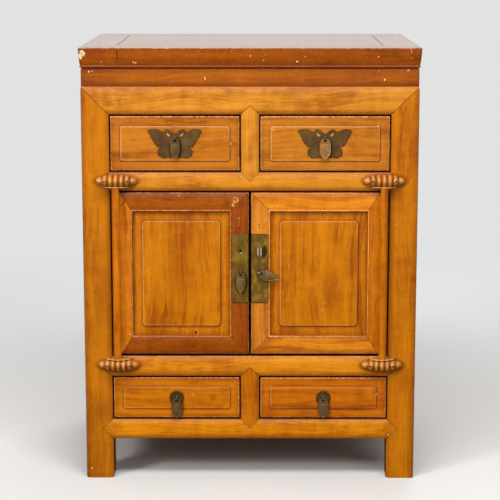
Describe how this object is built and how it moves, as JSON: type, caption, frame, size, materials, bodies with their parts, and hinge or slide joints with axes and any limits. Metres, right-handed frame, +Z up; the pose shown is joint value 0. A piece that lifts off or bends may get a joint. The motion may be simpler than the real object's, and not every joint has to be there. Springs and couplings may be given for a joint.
{
  "type": "kang cabinet",
  "caption": "Small lacquered kang cabinet: drawers above and below a cupboard with two pivot-hung doors, mitred rails and posts, a waisted top and brass leaf pulls.",
  "frame": {"origin": "on the floor, under the middle of the cabinet's bounding box", "axes": "+X to the viewer's right, front towards -Y, +Z up"},
  "size_m": [0.624, 0.476, 0.812],
  "materials": {
    "golden_lacquer": "glossy clear lacquer over golden-orange wood",
    "red_brown_lacquer": "glossy red-brown lacquer",
    "bare_wood": "unfinished wood",
    "dark_wood": "dark hardwood pegs",
    "aged_brass": "olive, dull, aged brass",
    "dark_brass": "grey-brown, dark, aged brass"
  },
  "bodies": {
    "carcase": {"drawer_guides": "bare_wood", "front_bottom_rail": "golden_lacquer", "front_lower_rail": "golden_lacquer", "front_middle_rail": "golden_lacquer", "front_top_rail": "golden_lacquer", "interior_boards": "bare_wood", "lower_centre_stile": "golden_lacquer", "upper_centre_stile": "golden_lacquer", "pivot_block_pegs": "dark_wood", "pivot_blocks": "golden_lacquer", "post_front_left": "golden_lacquer", "post_front_right": "golden_lacquer", "post_rear_left": "golden_lacquer", "post_rear_right": "golden_lacquer", "rear_panels": "bare_wood", "rear_rails": "golden_lacquer", "side_panels": "golden_lacquer", "side_rails": "golden_lacquer", "top_battens": "bare_wood", "top_frame_front": "red_brown_lacquer", "top_frame_left": "red_brown_lacquer", "top_frame_rear": "red_brown_lacquer", "top_frame_right": "red_brown_lacquer", "top_panel": "golden_lacquer", "waist_boards": "golden_lacquer"},
    "left_door": {"left_door_hanging_stile": "golden_lacquer", "left_door_lock_stile": "red_brown_lacquer", "left_door_rails": "red_brown_lacquer", "left_door_panel": "golden_lacquer", "left_door_plate": "aged_brass"},
    "left_door_pin": {"left_door_pin": "dark_brass"},
    "left_door_pull": {"left_door_pull": "dark_brass"},
    "upper_left_drawer": {"upper_left_drawer_front": "golden_lacquer", "upper_left_drawer_box": "bare_wood", "upper_left_drawer_plate": "aged_brass"},
    "upper_left_drawer_pin": {"upper_left_drawer_pin": "dark_brass"},
    "upper_left_drawer_pull": {"upper_left_drawer_pull": "dark_brass"},
    "lower_left_drawer": {"lower_left_drawer_front": "golden_lacquer", "lower_left_drawer_box": "bare_wood", "lower_left_drawer_plate": "aged_brass"},
    "lower_left_drawer_pin": {"lower_left_drawer_pin": "dark_brass"},
    "lower_left_drawer_pull": {"lower_left_drawer_pull": "dark_brass"},
    "right_door": {"right_door_hanging_stile": "golden_lacquer", "right_door_lock_stile": "golden_lacquer", "right_door_rails": "golden_lacquer", "right_door_panel": "golden_lacquer", "right_door_plate": "aged_brass", "right_door_staple": "aged_brass"},
    "right_door_pin": {"right_door_pin": "dark_brass"},
    "right_door_pull": {"right_door_pull": "dark_brass"},
    "upper_right_drawer": {"upper_right_drawer_front": "golden_lacquer", "upper_right_drawer_box": "bare_wood", "upper_right_drawer_plate": "aged_brass"},
    "upper_right_drawer_pin": {"upper_right_drawer_pin": "dark_brass"},
    "upper_right_drawer_pull": {"upper_right_drawer_pull": "dark_brass"},
    "lower_right_drawer": {"lower_right_drawer_front": "golden_lacquer", "lower_right_drawer_box": "bare_wood", "lower_right_drawer_plate": "aged_brass"},
    "lower_right_drawer_pin": {"lower_right_drawer_pin": "dark_brass"},
    "lower_right_drawer_pull": {"lower_right_drawer_pull": "dark_brass"}
  },
  "joints": [
    {"name": "left_door_hinge", "type": "hinge", "parent": "carcase", "child": "left_door", "pos_m": [-0.247, -0.227, 0.394], "axis": [0, 0, -1], "range_deg": [0, 165]},
    {"name": "left_door_pin_turn", "type": "hinge", "parent": "left_door", "child": "left_door_pin", "pos_m": [-0.0175, -0.22505, 0.397], "axis": [0, 1, 0], "range_deg": [-10, 100]},
    {"name": "left_door_pull_swing", "type": "hinge", "parent": "left_door_pin", "child": "left_door_pull", "pos_m": [-0.0175, -0.22505, 0.3958], "axis": [-1, 0, 0], "range_deg": [0, 80]},
    {"name": "upper_left_drawer_slide", "type": "slide", "parent": "carcase", "child": "upper_left_drawer", "axis": [0, -1, 0], "range_m": [0, 0.3]},
    {"name": "upper_left_drawer_pin_turn", "type": "hinge", "parent": "upper_left_drawer", "child": "upper_left_drawer_pin", "pos_m": [-0.1375, -0.22465, 0.6471], "axis": [0, 1, 0], "range_deg": [-90, 90]},
    {"name": "upper_left_drawer_pull_swing", "type": "hinge", "parent": "upper_left_drawer_pin", "child": "upper_left_drawer_pull", "pos_m": [-0.1375, -0.22465, 0.6459], "axis": [-1, 0, 0], "range_deg": [0, 80]},
    {"name": "lower_left_drawer_slide", "type": "slide", "parent": "carcase", "child": "lower_left_drawer", "axis": [0, -1, 0], "range_m": [0, 0.3]},
    {"name": "lower_left_drawer_pin_turn", "type": "hinge", "parent": "lower_left_drawer", "child": "lower_left_drawer_pin", "pos_m": [-0.13775, -0.22465, 0.15675], "axis": [0, 1, 0], "range_deg": [-90, 90]},
    {"name": "lower_left_drawer_pull_swing", "type": "hinge", "parent": "lower_left_drawer_pin", "child": "lower_left_drawer_pull", "pos_m": [-0.13775, -0.22465, 0.15555], "axis": [-1, 0, 0], "range_deg": [0, 80]},
    {"name": "right_door_hinge", "type": "hinge", "parent": "carcase", "child": "right_door", "pos_m": [0.247, -0.227, 0.394], "axis": [0, 0, 1], "range_deg": [0, 165]},
    {"name": "right_door_pin_turn", "type": "hinge", "parent": "right_door", "child": "right_door_pin", "pos_m": [0.0175, -0.22505, 0.397], "axis": [0, 1, 0], "range_deg": [-25, 85]},
    {"name": "right_door_pull_swing", "type": "hinge", "parent": "right_door_pin", "child": "right_door_pull", "pos_m": [0.01866, -0.22505, 0.39669], "axis": [-0.2588, 0, -0.9659], "range_deg": [0, 80]},
    {"name": "upper_right_drawer_slide", "type": "slide", "parent": "carcase", "child": "upper_right_drawer", "axis": [0, -1, 0], "range_m": [0, 0.3]},
    {"name": "upper_right_drawer_pin_turn", "type": "hinge", "parent": "upper_right_drawer", "child": "upper_right_drawer_pin", "pos_m": [0.1375, -0.22465, 0.6471], "axis": [0, 1, 0], "range_deg": [-90, 90]},
    {"name": "upper_right_drawer_pull_swing", "type": "hinge", "parent": "upper_right_drawer_pin", "child": "upper_right_drawer_pull", "pos_m": [0.1375, -0.22465, 0.6459], "axis": [-1, 0, 0], "range_deg": [0, 80]},
    {"name": "lower_right_drawer_slide", "type": "slide", "parent": "carcase", "child": "lower_right_drawer", "axis": [0, -1, 0], "range_m": [0, 0.3]},
    {"name": "lower_right_drawer_pin_turn", "type": "hinge", "parent": "lower_right_drawer", "child": "lower_right_drawer_pin", "pos_m": [0.13775, -0.22465, 0.15675], "axis": [0, 1, 0], "range_deg": [-90, 90]},
    {"name": "lower_right_drawer_pull_swing", "type": "hinge", "parent": "lower_right_drawer_pin", "child": "lower_right_drawer_pull", "pos_m": [0.13775, -0.22465, 0.15555], "axis": [-1, 0, 0], "range_deg": [0, 80]}
  ]
}
